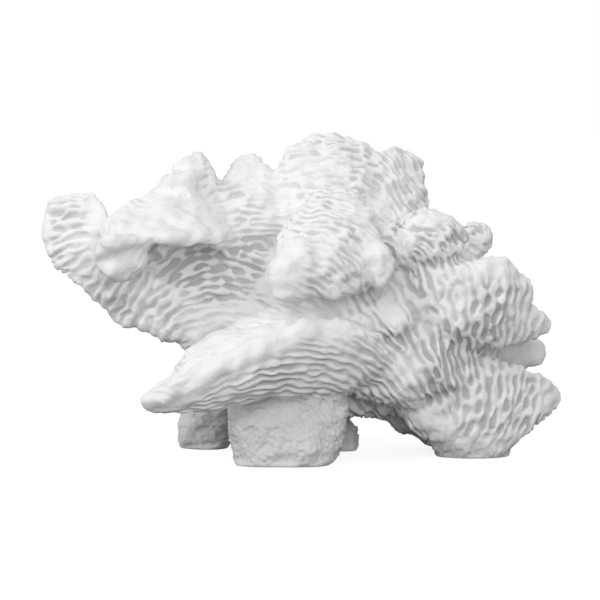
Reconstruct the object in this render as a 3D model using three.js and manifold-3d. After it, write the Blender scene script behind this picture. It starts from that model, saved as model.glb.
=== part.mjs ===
import * as THREE from "three";
import { mergeVertices } from "three/addons/utils/BufferGeometryUtils.js";
import Module from "manifold-3d";

// A dried white ruffled ridge coral: thick folded plates and knobs that fork from one trunk,
// all lined with wandering ridges, standing on the cut ends of four stout feet.
// Millimetres, +Z up, X across the width, -Y toward the front.

const ridgePitch = 9; // crest to crest
const ridgeDepth = 1.9; // crest down to valley
const facet = 17; // length of a facet along a ridge
const smoothFacet = 15.5; // size of a facet where the skin is smooth
const lumpHeight = 1.3; // swelling of the skin between folds
const tipRound = 2.6; // how blunt a lobe ends, unless it says otherwise
const tipCrowd = 0.07; // facets draw closer together toward the ends
const gap = 0.4; // kept between neighbouring pieces
const cutDepth = 60; // height of the block below the ground cut
const footprint = 400; // side of that block
const originShift = [-1.5, -4.7, 0]; // moves the middle of the plan to the origin

// Each lobe follows a path of stations: x, y, z, half width, half thickness, bow,
// and its side direction where that turns along the path.
// lines: the ridges run across the path, along it, or the skin is smooth.
const lobes = {
  core: { lines: "smooth", full: 0.8, side: [0, 0, 1], path: [
    [-65, 24, 64.5, 12, 16], [-43, 18, 66, 24, 27], [-15, 14, 69.5, 36, 33], [15, 12, 71, 44, 38],
    [45.5, 15, 62, 37, 33], [76, 16, 56, 30, 30], [104.5, 22, 49.5, 12, 16]] },
  belly: { lines: "smooth", full: 0.8, side: [0, 0, 1], path: [
    [-43, 18, 38, 16, 20], [-15, 12, 32, 15, 22], [15, 8, 30.5, 14, 22], [45.5, 14, 30, 13, 20],
    [71, 18, 28, 12, 16]] },
  frontSwell: { lines: "across", full: 0.8, side: [0, 0.1, 1], path: [
    [11, -14, 47.5, 15, 12], [29.5, -16, 50, 22, 15], [50.5, -17, 51, 25, 16], [72, -13, 47.5, 21, 15],
    [89.5, -8, 40.5, 13, 10]] },
  brow: { lines: "smooth", full: 0.85, side: [0.7, 0, 0.7], path: [
    [30, -6, 79, 8, 7], [38.5, -19, 74.5, 10, 8], [47, -26, 68, 11, 8], [54, -27, 60, 8, 6]] },
  leftBowl: { lines: "across", full: 0.8, side: [1, 0, 0], path: [
    [-34.5, 17, 45, 18, 20], [-39.5, 14, 64, 27, 24], [-44.5, 13, 82, 31, 24], [-47.5, 12, 98, 32, 25],
    [-49, 12, 111, 31, 25], [-49, 12, 123.5, 24, 20]] },
  leftCrest: { lines: "across", full: 0.8, side: [1, 0, 0], path: [
    [-19, 6, 105, 22, 22], [-21.5, 10, 120, 19, 19], [-24.5, 14, 132.5, 16, 15],
    [-25.5, 18, 141, 14, 12], [-27, 21, 149.5, 10.5, 9]] },
  leftKnob: { lines: "smooth", full: 0.85, side: [1, 0, 0], path: [
    [-49, 7, 108, 19, 16], [-51, 7.5, 122, 13.5, 12], [-51, 8, 134, 9, 9], [-50, 7, 144, 7.5, 8],
    [-51.5, 6, 153, 6.5, 7]] },
  knobArm: { lines: "smooth", full: 0.85, side: [0, 1, 0], path: [
    [-82, -10, 116, 8, 7], [-74, -8, 121.5, 8.5, 7.5], [-67, -4, 129, 8.5, 8], [-61, 0, 136, 8, 8]] },
  knobCheek: { lines: "smooth", full: 0.95, side: [0, 1, 0], path: [
    [-69, -6, 133, 6, 5.5], [-60, -6, 137.5, 7.5, 6.5], [-49, -3, 138, 6, 5.5]] },
  knobBump: { lines: "smooth", full: 0.95, side: [0, 1, 0], path: [
    [-64.5, 1, 142.5, 4.5, 4], [-58, 2, 146, 5, 4.5], [-51, 3, 146, 4, 4]] },
  leftLip: { lines: "smooth", full: 0.7, path: [
    [-24, 12, 108, 10, 10, 0, 0, -0.9, -0.45], [-36, 4, 115, 14, 9, 0, 0, -0.9, -0.5],
    [-50, -14, 120, 22, 6, 0, 0.1, -0.9, -0.45], [-64, -25, 120, 25, 5, 1, 0.1, -0.9, -0.45],
    [-76, -28, 118, 23, 5, 2, 0.1, -0.9, -0.45], [-88, -30, 116, 14, 5, 2, 0, -0.85, -0.45],
    [-98, -31, 113, 8, 4.5, 0, -0.2, -0.8, -0.6]] },
  lipCurl: { lines: "smooth", full: 0.9, side: [1, 0.1, 0], path: [
    [-83, -30, 117, 10, 7], [-85, -37, 109.5, 13, 9], [-86.5, -40, 100, 12.5, 10],
    [-87.5, -38, 90, 9, 8]] },
  lipRoll: { lines: "smooth", full: 0.95, side: [0, 0.4, 1], path: [
    [-99, -36, 98, 3.5, 3.5], [-97, -46, 105, 4, 3.5], [-90, -51, 109.5, 4, 3.5],
    [-80, -48, 109.5, 4, 4], [-70, -38, 109, 4, 5]] },
  leftArm: { lines: "across", full: 0.7, blunt: 4, path: [
    [-27.5, 5, 61, 17, 14, 0, 0.3, 0, 0.95], [-55, 0, 69.5, 15.5, 11, 0, 0.35, -0.1, 0.9],
    [-79, -4, 79, 16, 9, -1, 0.5, -0.2, 0.8], [-97, -6, 94, 16, 8, -2, 0.8, -0.25, 0.6],
    [-108.5, -4, 108, 19, 7, -2, 0.97, -0.3, 0.1], [-112.5, 0, 120, 20.5, 6.5, -2, 1, -0.3, -0.1],
    [-113, 4, 131, 19, 5.5, -1, 1, -0.3, -0.1]] },
  crown: { lines: "across", full: 0.8, blunt: 3, side: [1, 0, 0], path: [
    [12.5, 0, 97, 26, 20], [12.5, 4, 115, 27, 18], [13.5, 8, 131.5, 27, 16], [14, 14, 145, 26, 13],
    [13.5, 20, 154, 24.5, 10], [13.5, 25, 162, 20, 7]] },
  crownSide: { lines: "across", full: 0.8, path: [
    [36, 6, 102.5, 16, 16, 0, 1, 0, 0], [43, 10, 118.5, 18, 14, 0, 1, 0.5, 0],
    [47.5, 16, 132.5, 19.5, 11, 0, 1, 0.8, 0], [50, 21, 143, 19, 9, 0, 1, 0.85, 0],
    [50.5, 25, 153, 16, 7, 0, 1, 0.85, 0]] },
  hood: { lines: "along", full: 0.8, side: [1, 0.3, 0.1], path: [
    [21, 2, 130, 16, 14], [18.5, -14, 117.5, 22, 16, -2], [16, -29, 106, 27, 15, -3],
    [14, -39, 95, 28, 13, -4], [14, -43, 87, 26, 10, -4], [14, -44, 81, 20, 6, -4]] },
  hoodNose: { lines: "smooth", full: 0.85, side: [0.8, 0, -0.5], path: [
    [19, -10, 122.5, 9, 10], [10, -27, 110.5, 11.5, 12], [1.5, -40, 100, 13, 12],
    [-6, -48, 90.5, 14, 11], [-11, -51, 81.5, 10, 7]] },
  hoodRim: { lines: "smooth", full: 0.9, side: [1, 0, 0], path: [
    [24, -15, 121, 6, 6], [34, -28, 110, 6.5, 6.5], [39.5, -37, 98, 6.5, 7], [39, -39, 86, 5.5, 6]] },
  rightKnob: { lines: "smooth", full: 0.85, side: [0, 0, 1], path: [
    [30, 2, 101, 13, 14], [47, -9, 105, 13, 12], [61.5, -19, 109, 15.5, 13], [73, -19, 109.5, 14, 12],
    [82, -16, 109, 9, 8]] },
  rightBackKnob: { lines: "smooth", full: 0.85, side: [0, 0, 1], path: [
    [60.5, 14, 96, 14, 12], [76, 16, 102, 13, 11], [88, 16, 106, 12, 9], [98, 16, 106, 9, 6]] },
  rightUpper: { lines: "across", full: 0.75, blunt: 4, side: [0, -0.15, 1], path: [
    [30, 4, 80, 17, 14], [50, -9, 76, 19, 13, -2], [73, -21, 77, 22, 12, -2],
    [91, -23, 78.5, 23, 10, -3], [103.5, -19, 79, 22, 8, -3], [115, -12, 79.5, 16, 5, -2]] },
  rightRim: { lines: "across", full: 0.8, side: [0, -0.1, 1], path: [
    [84, -16, 67, 14, 12], [101.5, -13, 67, 12, 10], [114, -10, 66.5, 10.5, 8], [124, -7, 64, 8, 5]] },
  rightLower: { lines: "across", full: 0.75, blunt: 3.4, side: [0, 0.1, 1], path: [
    [35, 2, 46.5, 22, 19], [57.5, -6, 42, 24, 16, -2], [78.5, -8, 30, 27.5, 14, -2],
    [98.5, -5, 26.5, 24, 11, -2], [113, 0, 27.5, 17, 9], [123.5, 4, 28.5, 13, 7],
    [132.5, 8, 28.5, 8, 4]] },
  rightBack: { lines: "smooth", full: 0.8, side: [0, 0, 1], path: [
    [81.5, 24, 53, 14, 12], [102, 24, 51, 12, 10], [116.5, 24, 50, 11, 8], [126, 24, 49, 8, 5]] },
  tongue: { lines: "along", full: 0.8, blunt: 3.4, path: [
    [41, -22, 50, 18, 15, 0, 0, -0.35, 0.9], [22, -33, 52.5, 22, 13, 0, 0, -0.42, 0.9],
    [-2.5, -46, 52, 21, 10, 1, 0.1, -0.5, 0.88], [-26.5, -58, 46.5, 17.5, 9, 2, 0.2, -0.5, 0.85],
    [-49, -64, 40.5, 14, 8, 1, 0.2, -0.5, 0.85], [-65, -66, 36.5, 11, 7.5, 0, 0.2, -0.45, 0.85],
    [-76.5, -66, 34.5, 9, 6.5, 0, 0.2, -0.4, 0.85]] },
  tongueBank: { lines: "smooth", full: 0.85, side: [0.3, 0.8, 0.5], path: [
    [15, -20, 67.5, 16, 12], [-5, -28, 64.5, 17, 11], [-29, -36, 57.5, 17, 10],
    [-48.5, -44, 48.5, 14, 9], [-62.5, -54, 40, 9, 6]] },
  frontFoot: { lines: "smooth", full: 0.7, side: [1, 0, 0], path: [
    [-2.5, -8, 48.5, 30, 22], [-5, -16, 32, 29, 20], [-7, -25, 16, 29.5, 18], [-10, -29, -1.5, 24, 16],
    [-11, -30, -20.5, 18, 12]] },
  rightFoot: { lines: "smooth", full: 0.7, side: [1, 0, 0], path: [
    [81.5, 2, 40, 26, 16], [84, 0, 19, 21, 16], [86.5, 2, 0, 18.5, 16.5], [87, 4, -26, 15, 13]] },
  archRight: { lines: "smooth", full: 0.8, side: [0.5, 0, 0.8], path: [
    [35.5, 18, 31.5, 14, 14], [53.5, 20, 21.5, 12.5, 13], [70.5, 24, 11, 11, 13],
    [87.5, 28, 1.5, 10, 12]] },
  rearLeftFoot: { lines: "smooth", full: 0.75, side: [1, 0, 0], path: [
    [-33, 16, 41, 20, 18], [-43, 24, 22, 16, 14], [-49, 28, 4.5, 14, 13], [-50, 28, -17.5, 11, 9]] },
  rearMidFoot: { lines: "smooth", full: 0.75, side: [1, 0, 0], path: [
    [23, 14, 38.5, 14, 16], [19.5, 18, 21, 9, 12], [19, 20, 12.5, 6.5, 10], [21, 20, 4.5, 9, 11],
    [21, 20, -16, 8, 8]] },
  backLeft: { lines: "across", full: 0.75, side: [0, -0.5, 1], path: [
    [-30.5, 30, 85.5, 22, 16], [-54.5, 48, 93.5, 22, 12], [-78.5, 60, 100, 18, 8],
    [-94.5, 66, 103.5, 9, 5]] },
  backMid: { lines: "across", full: 0.75, side: [1, 0, 0], path: [
    [5, 26, 96, 30, 20], [2.5, 46, 107.5, 30, 13], [0, 64, 113.5, 24, 9], [-1, 78, 114.5, 13, 5]] },
  backRight: { lines: "across", full: 0.75, side: [0.2, -0.3, 1], path: [
    [51, 30, 75.5, 22, 16], [70, 48, 79, 21, 12], [88, 62, 77.5, 16, 8], [97.5, 70, 76, 8, 5]] },
  backShelf: { lines: "across", full: 0.75, side: [1, 0.1, 0], path: [
    [10, 26, 50, 34, 18], [9.5, 50, 46.5, 34, 12], [8, 70, 45.5, 26, 9], [7, 84, 45, 13, 5]] },
};

// The colony splits at its main forks. Earlier pieces keep their shape, later ones are cut to fit.
const chalk = 0xf1f0ec;
const shade = 0xe3e2dc;
const pieces = [
  { name: "trunk", from: ["core", "belly", "frontSwell", "brow"], colour: shade },
  { name: "left_bowl", from: ["leftBowl"], colour: chalk },
  { name: "front_foot", from: ["frontFoot"], colour: shade },
  { name: "right_lower_plate", from: ["rightLower"], colour: chalk },
  { name: "right_upper_plate", from: ["rightUpper", "rightRim"], colour: chalk },
  { name: "crown", from: ["crown"], colour: chalk },
  { name: "hood", from: ["hood", "hoodNose", "hoodRim"], colour: chalk },
  { name: "front_tongue", from: ["tongue", "tongueBank"], colour: chalk },
  { name: "left_arm", from: ["leftArm"], colour: chalk },
  { name: "left_crest", from: ["leftCrest"], colour: chalk },
  { name: "left_knob", from: ["leftKnob", "knobArm", "knobCheek", "knobBump"], colour: chalk },
  { name: "left_lip", from: ["leftLip", "lipCurl", "lipRoll"], colour: chalk },
  { name: "crown_side", from: ["crownSide"], colour: chalk },
  { name: "right_knob", from: ["rightKnob"], colour: chalk },
  { name: "right_back_knob", from: ["rightBackKnob"], colour: chalk },
  { name: "right_foot", from: ["rightFoot", "archRight"], colour: shade },
  { name: "right_back_lobe", from: ["rightBack"], colour: shade },
  { name: "rear_left_foot", from: ["rearLeftFoot"], colour: chalk },
  { name: "rear_mid_foot", from: ["rearMidFoot"], colour: shade },
  { name: "back_shelf", from: ["backShelf"], colour: chalk },
  { name: "back_middle_plate", from: ["backMid"], colour: chalk },
  { name: "back_left_plate", from: ["backLeft"], colour: chalk },
  { name: "back_right_plate", from: ["backRight"], colour: chalk },
];

const curveOf = (rows) =>
  new THREE.CatmullRomCurve3(rows.map((row) => new THREE.Vector3(...row)), false, "catmullrom", 0.5);
const signedPower = (value, power) => Math.sign(value) * Math.abs(value) ** power;

// Low swelling of the skin, one field through the whole colony.
function swell(p) {
  const wide = Math.sin(p.x * 0.19 + p.z * 0.11 + 0.6) * Math.sin(p.y * 0.17 + p.z * 0.13 + 1.7);
  const fine = Math.sin(p.x * 0.33 - p.y * 0.21 + 2.1) * Math.sin(p.z * 0.37 + p.x * 0.09 + 0.4);
  return lumpHeight * (0.62 * wide + 0.38 * fine);
}

// How deep the valley is at a point: ridges break up and fade as they wander.
function relief(p) {
  const patch = Math.sin(p.x * 0.23 + p.y * 0.31 + 1.1) * Math.sin(p.z * 0.27 - p.x * 0.12 + 0.5);
  return ridgeDepth * (0.78 + 0.3 * patch);
}

// One lobe: a sphere drawn out along its path, with a flattened section. With grow above zero
// it is the smooth outer envelope, used to cut the neighbour clear of it.
function lobeGeometry(lobe, grow) {
  const centre = curveOf(lobe.path.map((s) => s.slice(0, 3)));
  const girth = curveOf(lobe.path.map((s) => [s[3], s[4], s[5] ?? 0]));
  const sides = curveOf(lobe.path.map((s) => (s.length > 6 ? s.slice(6, 9) : lobe.side)));
  const length = centre.getLength();
  const widest = Math.max(...lobe.path.map((s) => s[3] + s[4]));
  const around = Math.PI * widest * 1.05;
  const blunt = lobe.blunt ?? tipRound;
  const across = lobe.lines === "across", along = lobe.lines === "along";
  const fine = (span) => 2 * Math.round(span / ridgePitch);
  const coarse = (span, size, least) => Math.max(least, 2 * Math.round(span / size / 2));
  const rows = across ? fine(length) : coarse(length, along ? facet : smoothFacet, 6);
  const columns = along ? fine(around) : coarse(around, across ? facet : smoothFacet, 8);

  const geometry = new THREE.SphereGeometry(1, columns, rows);
  const position = geometry.getAttribute("position");
  for (let i = 0; i < position.count; i++) {
    const row = Math.floor(i / (columns + 1)), column = i % (columns + 1);
    const step = row / rows;
    const u = THREE.MathUtils.clamp(1 - step + tipCrowd * Math.sin(2 * Math.PI * step), 0, 1);
    const angle = (2 * Math.PI * column) / columns;
    const r = Math.max(0, 1 - Math.abs(2 * u - 1) ** blunt) ** (1 / blunt);
    const point = centre.getPointAt(u), tangent = centre.getTangentAt(u);
    const t = centre.getUtoTmapping(u);
    const [half, thick, bow] = girth.getPoint(t).toArray();
    const side = sides.getPoint(t);
    side.addScaledVector(tangent, -side.dot(tangent)).normalize();
    const normal = new THREE.Vector3().crossVectors(tangent, side).normalize();
    const sx = signedPower(Math.cos(angle), lobe.full), sy = signedPower(Math.sin(angle), lobe.full);
    const swollen = grow * Math.min(1, 3 * r);
    point.addScaledVector(side, sx * (half * r + swollen));
    point.addScaledVector(normal, sy * (thick * r ** 0.7 + swollen) + bow * sx * sx * r);
    point.addScaledVector(tangent, grow * (2 * u - 1) ** 7);
    const outward = side.multiplyScalar(sx).addScaledVector(normal, sy).normalize();
    const edge = THREE.MathUtils.smoothstep(r, 0.3, 0.75);
    point.addScaledVector(outward, swell(point) * Math.min(1, r * 1.5));
    const valley = (across && row % 2 === 1) || (along && column % 2 === 1);
    if (valley && grow === 0) point.addScaledVector(outward, -relief(point) * edge);
    position.setXYZ(i, point.x, point.y, point.z);
  }
  geometry.deleteAttribute("normal");
  geometry.deleteAttribute("uv");
  return mergeVertices(geometry, 1e-4);
}

const wasm = await Module();
wasm.setup();

function solidOf(geometry) {
  const vertProperties = new Float32Array(geometry.getAttribute("position").array);
  const triVerts = new Uint32Array(geometry.getIndex().array);
  return new wasm.Manifold(new wasm.Mesh({ numProp: 3, vertProperties, triVerts }));
}

function joined(names, grow) {
  return names.map((name) => solidOf(lobeGeometry(lobes[name], grow))).reduce((a, b) => a.add(b));
}

// Below the ground the feet are sawn off flat.
const groundBlock = new THREE.BoxGeometry(footprint, footprint, cutDepth);
groundBlock.deleteAttribute("normal");
groundBlock.deleteAttribute("uv");
const ground = solidOf(mergeVertices(groundBlock.translate(0, 0, -cutDepth / 2), 1e-4));

function geometryOf(solid) {
  const { vertProperties, triVerts, numProp } = solid.getMesh();
  const corners = new Float32Array((vertProperties.length / numProp) * 3);
  for (let i = 0; i < corners.length / 3; i++) {
    for (let k = 0; k < 3; k++) corners[3 * i + k] = vertProperties[numProp * i + k] + originShift[k];
  }
  const geometry = new THREE.BufferGeometry();
  geometry.setAttribute("position", new THREE.BufferAttribute(corners, 3));
  geometry.setIndex(new THREE.BufferAttribute(new Uint32Array(triVerts), 1));
  geometry.computeVertexNormals();
  return geometry;
}

const coral = new THREE.Group();
const envelopes = [];
for (const piece of pieces) {
  let solid = joined(piece.from, 0).subtract(ground);
  for (const envelope of envelopes) solid = solid.subtract(envelope);
  const parts = solid.decompose().sort((a, b) => b.volume() - a.volume());
  const material = new THREE.MeshStandardMaterial({ color: piece.colour, roughness: 0.85, metalness: 0 });
  const mesh = new THREE.Mesh(geometryOf(parts[0]), material);
  mesh.name = piece.name;
  coral.add(mesh);
  envelopes.push(joined(piece.from, gap));
}

export default coral;
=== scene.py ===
import bpy
import math
import numpy as np
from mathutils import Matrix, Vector, kdtree
from mathutils.bvhtree import BVHTree


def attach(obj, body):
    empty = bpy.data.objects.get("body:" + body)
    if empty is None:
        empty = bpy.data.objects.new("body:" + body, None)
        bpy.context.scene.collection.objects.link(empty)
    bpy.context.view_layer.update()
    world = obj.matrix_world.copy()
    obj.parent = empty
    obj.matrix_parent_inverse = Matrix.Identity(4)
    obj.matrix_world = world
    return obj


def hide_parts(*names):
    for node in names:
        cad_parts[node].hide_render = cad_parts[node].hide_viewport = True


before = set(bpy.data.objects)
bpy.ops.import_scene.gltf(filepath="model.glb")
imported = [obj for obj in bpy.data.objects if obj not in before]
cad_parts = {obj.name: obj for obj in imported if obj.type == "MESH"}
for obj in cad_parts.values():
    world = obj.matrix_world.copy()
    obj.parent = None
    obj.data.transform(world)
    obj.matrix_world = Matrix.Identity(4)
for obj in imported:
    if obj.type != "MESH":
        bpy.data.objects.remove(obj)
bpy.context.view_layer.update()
print("coral: frame loaded")

# Everything below is worked in millimetres and turned into metres when a mesh is made.
mm = 0.001

# The whole colony: how its skin is grown.
colony = {
    "shift": (-1.5, -4.7, 0.0),    # middle of the plan to the origin
    "drawn": (-2.8, -4.7, 0.0),    # where the ridge lines and smooth spots are laid out
    "gridStep": 1.6,               # spacing of the points on a lobe
    "voxel": 1.42,
    "labelTurns": 400,             # most passes that find the outer shell
    "fillets": 7,                  # passes that round the creases between lobes
    "hollowPull": 0.6,             # how fast a crease fills
    "crestPull": 0.1,              # how fast a crest gives way meanwhile
    "deepest": 40.0,               # longest look through the coral
    "rimTurns": 26,                # passes that make the calm copy for finding rims
    "rimLow": 0.5,                 # standing this far out of the calm copy, a rim begins
    "rimHigh": 1.5,                # and here it is one
    "fieldTurns": 14,              # passes that blend one piece's ridges into the next
    "lineReach": 8.0,              # how far one entry of frontLines is felt
    "ridgePitch": 4.3,
    "pitchSway": 0.12,             # how much the pitch wanders over the colony
    "combing": 260,                # passes that line the ridges up with each other
    "fineTurns": 4,                # passes that round the split skin
    "wall": 3.4,                   # how far each piece reaches in under its skin
    "wallShare": 0.36,             # and the most of the thickness that it may take
    "floorGap": 0.4,               # the inner side stays this far above the ground
    "voteTurns": 6,                # passes that even out the borders between pieces
    "seed": 7,
}

# Random waves over the skin: pitch in mm, number of waves, seed.
noises = {
    "sway": (38, 12, 3), "rim": (14, 14, 51), "patch": (26, 16, 11), "wander": (10, 20, 19),
    "cells": (7.6, 24, 21), "crest": (9, 20, 23), "grain": (3.0, 26, 31), "grainMask": (2.1, 20, 33),
    "lumps": (19, 18, 41), "bumps": (8.5, 22, 43),
}

# Pieces: depth of the valleys in mm, how often they close into cells, the pitch as a share
# of the colony's, how thin the crests are ("lean") and the grit on the skin.
# Lobes: stations are x, y, z, half width, half thickness, bow, then the side direction
# where it turns. "full" and "blunt" say how square a lobe is across and along, and
# "lines" how the ridges run behind and at the sides.
trunkPiece = {
    "node": "trunk", "slot": "coral",
    "depth": 2.0, "cells": 0.7, "pitch": 1.0, "lean": 0.25, "grit": 0.1,
    "lobes": [
        {"full": 0.8, "side": (0, 0, 1), "lines": "across", "path": [
            (-65, 24, 64.5, 12, 16), (-43, 18, 66, 24, 27), (-15, 14, 69.5, 36, 33),
            (15, 12, 71, 44, 38), (45.5, 15, 62, 37, 33), (76, 16, 56, 30, 30),
            (104.5, 22, 49.5, 12, 16)]},
        {"full": 0.8, "side": (0, 0, 1), "lines": "across", "path": [
            (-43, 18, 38, 16, 20), (-15, 12, 32, 15, 22), (15, 8, 30.5, 14, 22),
            (45.5, 14, 30, 13, 20), (71, 18, 28, 12, 16)]},
        {"full": 0.8, "side": (0, 0.1, 1), "lines": "across", "path": [
            (11, -14, 47.5, 15, 12), (29.5, -16, 50, 22, 15), (50.5, -17, 51, 25, 16),
            (72, -13, 47.5, 21, 15), (89.5, -8, 40.5, 13, 10)]},
        {"full": 0.85, "side": (0.7, 0, 0.7), "lines": "across", "path": [
            (30, -6, 79, 8, 7), (38.5, -19, 74.5, 10, 8), (47, -26, 68, 11, 8),
            (54, -27, 60, 8, 6)]},
    ],
}
leftBowlPiece = {
    "node": "left_bowl", "slot": "coral",
    "depth": 2.1, "cells": 0.95, "pitch": 0.92, "lean": 0.55, "grit": 0.08,
    "lobes": [
        {"full": 0.8, "side": (1, 0, 0), "lines": "across", "path": [
            (-34.5, 17, 45, 18, 20), (-39.5, 14, 64, 27, 24), (-44.5, 13, 82, 31, 24),
            (-47.5, 12, 98, 32, 25), (-49, 12, 111, 31, 25), (-49, 12, 123.5, 24, 20)]},
    ],
}
frontFootPiece = {
    "node": "front_foot", "slot": "coral_foot",
    "depth": 0.9, "cells": 0.9, "pitch": 0.75, "lean": 0.0, "grit": 0.34,
    "lobes": [
        {"full": 0.7, "side": (1, 0, 0), "lines": "along", "path": [
            (-2.5, -8, 48.5, 30, 22), (-5, -16, 32, 29, 20), (-7, -25, 16, 29.5, 18),
            (-10, -29, -1.5, 24, 16), (-11, -30, -20.5, 18, 12)]},
    ],
}
rightLowerPiece = {
    "node": "right_lower_plate", "slot": "coral",
    "depth": 1.7, "cells": 0.85, "pitch": 1.15, "lean": 0.2, "grit": 0.1,
    "lobes": [
        {"full": 0.75, "blunt": 3.4, "side": (0, 0.1, 1), "lines": "across", "path": [
            (35, 2, 46.5, 22, 19), (57.5, -6, 42, 24, 16, -2), (78.5, -8, 30, 27.5, 14, -2),
            (98.5, -5, 26.5, 24, 11, -2), (113, 0, 27.5, 17, 9), (123.5, 4, 28.5, 13, 7),
            (132.5, 8, 28.5, 8, 4)]},
    ],
}
rightUpperPiece = {
    "node": "right_upper_plate", "slot": "coral",
    "depth": 1.6, "cells": 0.72, "pitch": 1.2, "lean": 0.2, "grit": 0.1,
    "lobes": [
        {"full": 0.75, "blunt": 4, "side": (0, -0.15, 1), "lines": "across", "path": [
            (30, 4, 80, 17, 14), (50, -9, 76, 19, 13, -2), (73, -21, 77, 22, 12, -2),
            (91, -23, 78.5, 23, 10, -3), (103.5, -19, 79, 22, 8, -3), (115, -12, 79.5, 16, 5, -2)]},
        {"full": 0.8, "side": (0, -0.1, 1), "lines": "across", "path": [
            (84, -16, 67, 14, 12), (101.5, -13, 67, 12, 10), (114, -10, 66.5, 10.5, 8),
            (124, -7, 64, 8, 5)]},
    ],
}
crownPiece = {
    "node": "crown", "slot": "coral",
    "depth": 1.25, "cells": 1.15, "pitch": 0.95, "lean": -0.1, "grit": 0.12,
    "lobes": [
        {"full": 0.8, "blunt": 3, "side": (1, 0, 0), "lines": "across", "path": [
            (12.5, 0, 97, 26, 20), (12.5, 4, 115, 27, 18), (13.5, 8, 131.5, 27, 16),
            (14, 14, 144.5, 26, 13), (13.5, 20, 152.5, 24.5, 10), (13.5, 25, 159.3, 20, 7)]},
    ],
}
hoodPiece = {
    "node": "hood", "slot": "coral",
    "depth": 1.3, "cells": 0.8, "pitch": 0.98, "lean": 0.05, "grit": 0.1,
    "lobes": [
        {"full": 0.8, "side": (1, 0.3, 0.1), "lines": "along", "path": [
            (21, 2, 130, 16, 14), (18.5, -14, 117.5, 22, 16, -2), (16, -29, 106, 27, 15, -3),
            (14, -39, 95, 28, 13, -4), (14, -43, 87, 26, 10, -4), (14, -44, 81, 20, 6, -4)]},
        {"full": 0.85, "side": (0.8, 0, -0.5), "lines": "along", "path": [
            (19, -10, 122.5, 9, 10), (10, -27, 110.5, 11.5, 12), (1.5, -40, 100, 13, 12),
            (-6, -48, 90.5, 14, 11), (-11, -51, 81.5, 10, 7)]},
        {"full": 0.9, "side": (1, 0, 0), "lines": "along", "path": [
            (24, -15, 121, 6, 6), (34, -28, 110, 6.5, 6.5), (39.5, -37, 98, 6.5, 7),
            (39, -39, 86, 5.5, 6)]},
    ],
}
frontTonguePiece = {
    "node": "front_tongue", "slot": "coral",
    "depth": 1.2, "cells": 0.5, "pitch": 0.95, "lean": 0.3, "grit": 0.08,
    "lobes": [
        {"full": 0.8, "blunt": 3.4, "lines": "along", "path": [
            (41, -22, 50, 18, 15, 0, 0, -0.35, 0.9), (22, -33, 52.5, 22, 13, 0, 0, -0.42, 0.9),
            (-2.5, -46, 52, 21, 10, 1, 0.1, -0.5, 0.88),
            (-26.5, -58, 46.5, 17.5, 9, 2, 0.2, -0.5, 0.85),
            (-49, -64, 40.5, 14, 8, 1, 0.2, -0.5, 0.85),
            (-65, -66, 36.5, 11, 7.5, 0, 0.2, -0.45, 0.85),
            (-76.5, -66, 34.5, 9, 6.5, 0, 0.2, -0.4, 0.85)]},
        {"full": 0.85, "side": (0.3, 0.8, 0.5), "lines": "along", "path": [
            (15, -20, 67.5, 16, 12), (-5, -28, 64.5, 17, 11), (-29, -36, 57.5, 17, 10),
            (-48.5, -44, 48.5, 14, 9), (-62.5, -54, 40, 9, 6)]},
    ],
}
leftArmPiece = {
    "node": "left_arm", "slot": "coral",
    "depth": 1.25, "cells": 0.7, "pitch": 1.2, "lean": 0.25, "grit": 0.1,
    "lobes": [
        {"full": 0.7, "blunt": 4, "lines": "across", "path": [
            (-27.5, 5, 61, 17, 14, 0, 0.3, 0, 0.95), (-55, 0, 69.5, 15.5, 11, 0, 0.35, -0.1, 0.9),
            (-79, -4, 79, 16, 9, -1, 0.5, -0.2, 0.8), (-97, -6, 94, 16, 8, -2, 0.8, -0.25, 0.6),
            (-108.5, -4, 108, 19, 7, -2, 0.97, -0.3, 0.1),
            (-112.1, 0, 120, 20.5, 6.5, -2, 1, -0.3, -0.1),
            (-112.6, 4, 131, 19, 5.5, -1, 1, -0.3, -0.1)]},
    ],
}
leftCrestPiece = {
    "node": "left_crest", "slot": "coral",
    "depth": 1.1, "cells": 0.9, "pitch": 1.0, "lean": 0.3, "grit": 0.12,
    "lobes": [
        {"full": 0.8, "side": (1, 0, 0), "lines": "across", "path": [
            (-19, 6, 105, 22, 22), (-21.5, 10, 120, 19, 19), (-24.5, 14, 132.5, 16, 15),
            (-25.5, 18, 141, 14, 12), (-27, 21, 149.5, 10.5, 9)]},
    ],
}
leftKnobPiece = {
    "node": "left_knob", "slot": "coral",
    "depth": 1.3, "cells": 1.35, "pitch": 0.9, "lean": 0.2, "grit": 0.14,
    "lobes": [
        {"full": 0.85, "side": (1, 0, 0), "lines": "across", "path": [
            (-49, 7, 108, 19, 16), (-51, 7.5, 122, 13.5, 12), (-51, 8, 134, 9, 9),
            (-50, 7, 144, 7.5, 8), (-51.5, 6, 153, 6.5, 7)]},
        {"full": 0.85, "side": (0, 1, 0), "lines": "along", "path": [
            (-82, -10, 116, 8, 7), (-74, -8, 121.5, 8.5, 7.5), (-67, -4, 129, 8.5, 8),
            (-61, 0, 136, 8, 8)]},
        {"full": 0.95, "side": (0, 1, 0), "lines": "along", "path": [
            (-69, -6, 133, 6, 5.5), (-60, -6, 137.5, 7.5, 6.5), (-49, -3, 138, 6, 5.5)]},
        {"full": 0.95, "side": (0, 1, 0), "lines": "along", "path": [
            (-64.5, 1, 142.5, 4.5, 4), (-58, 2, 146, 5, 4.5), (-51, 3, 146, 4, 4)]},
    ],
}
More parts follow.
